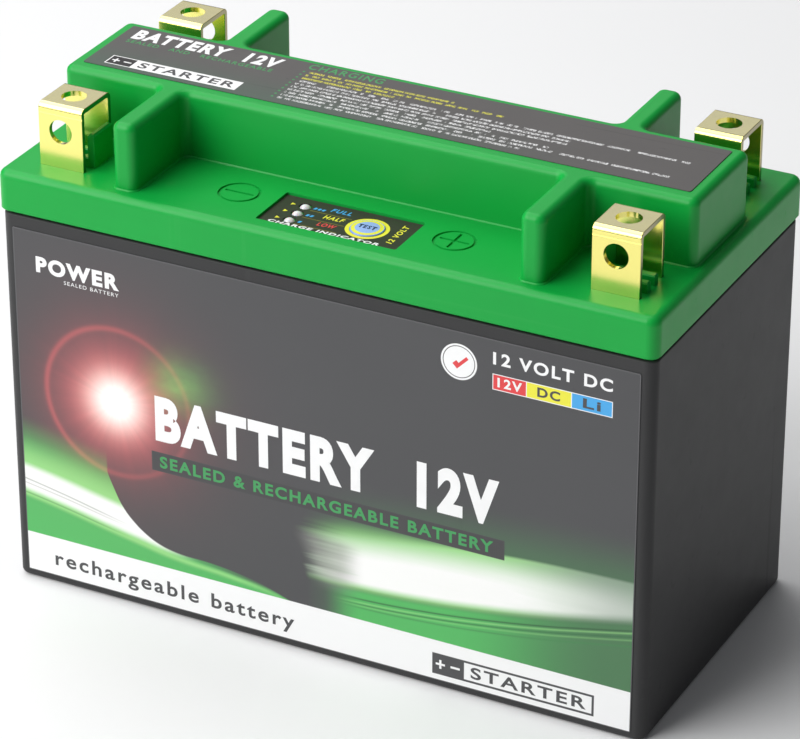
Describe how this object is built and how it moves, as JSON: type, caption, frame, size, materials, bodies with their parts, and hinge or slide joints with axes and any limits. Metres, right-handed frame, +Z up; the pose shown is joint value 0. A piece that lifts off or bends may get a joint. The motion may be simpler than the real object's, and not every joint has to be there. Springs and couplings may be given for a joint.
{
  "type": "motorcycle battery",
  "caption": "Sealed lithium starter battery: black case, green lid with a raised spine and ribs, bolt-through brass strap terminals and a charge indicator with a test button.",
  "frame": {"origin": "centre of the case's flat base", "axes": "+X along the length towards the positive terminals, -Y towards the labelled front, +Z up"},
  "size_m": [0.175, 0.087, 0.131],
  "materials": {
    "case_plastic": "fine-grained moulded black",
    "lid_plastic": "satin moulded green",
    "sealant": "matt",
    "terminal_brass": "bright rolled brass",
    "copper": "rolled copper",
    "rivet_metal": "plated",
    "front_label_film": "printed film with a clear coat",
    "top_label_film": "printed film with a clear coat",
    "panel_film": "printed film",
    "lamp_lens": "milky lens",
    "button_cap": "printed cap",
    "switch_plastic": "moulded",
    "plunger_plastic": "moulded",
    "circuit_board": "solder mask",
    "screw_steel": "zinc plated",
    "connector_plastic": "moulded",
    "pouch_foil": "laminated foil",
    "tab_aluminium": "rolled",
    "tab_nickel": "nickel plated",
    "white_foam": "closed-cell foam",
    "fibre_tape": "fibre tape",
    "tray_plastic": "moulded",
    "chip_plastic": "moulded",
    "resistor_ceramic": "coated",
    "lead_black": "silicone",
    "lead_red": "silicone",
    "cable_sleeve": "sleeved",
    "tinned_lug": "tinned",
    "packing_foam": "closed-cell foam"
  },
  "bodies": {
    "housing": {"balance_chips": "chip_plastic", "balance_resistors": "resistor_ceramic", "board_connector": "connector_plastic", "board_screws": "screw_steel", "bus_plate_negative": "copper", "bus_plate_positive": "copper", "bus_rivets": "rivet_metal", "case": "case_plastic", "cell_1": "pouch_foil", "cell_2": "pouch_foil", "cell_3": "pouch_foil", "cell_4": "pouch_foil", "cell_spacers": "white_foam", "cell_tabs_negative": "tab_nickel", "cell_tabs_positive": "tab_aluminium", "foam_floor": "packing_foam", "foam_front": "packing_foam", "foam_left": "packing_foam", "foam_rear": "packing_foam", "foam_right": "packing_foam", "front_label": "front_label_film", "indicator_board": "circuit_board", "indicator_cable": "cable_sleeve", "indicator_connector": "connector_plastic", "indicator_panel": "panel_film", "lead_negative": "lead_black", "lead_positive": "lead_red", "led_full": "lamp_lens", "led_half": "lamp_lens", "led_low": "lamp_lens", "lid": "lid_plastic", "lid_seal": "sealant", "link_bars": "copper", "lug_negative": "tinned_lug", "lug_nuts": "screw_steel", "lug_positive": "tinned_lug", "lug_screws": "screw_steel", "pack_bands": "fibre_tape", "pack_bar_negative": "copper", "pack_bar_positive": "copper", "switch_body": "switch_plastic", "tab_board": "circuit_board", "tab_tray": "tray_plastic", "terminal_front_left": "terminal_brass", "terminal_front_right": "terminal_brass", "terminal_rear_left": "terminal_brass", "terminal_rear_right": "terminal_brass", "top_label": "top_label_film"},
    "button": {"test_button": "button_cap", "switch_plunger": "plunger_plastic"}
  },
  "joints": [
    {"name": "test_button_press", "type": "slide", "parent": "housing", "child": "button", "axis": [0, 0, -1], "range_m": [0, 0.0004], "stiffness_N_per_m": 2500, "springref_m": -0.0004}
  ]
}
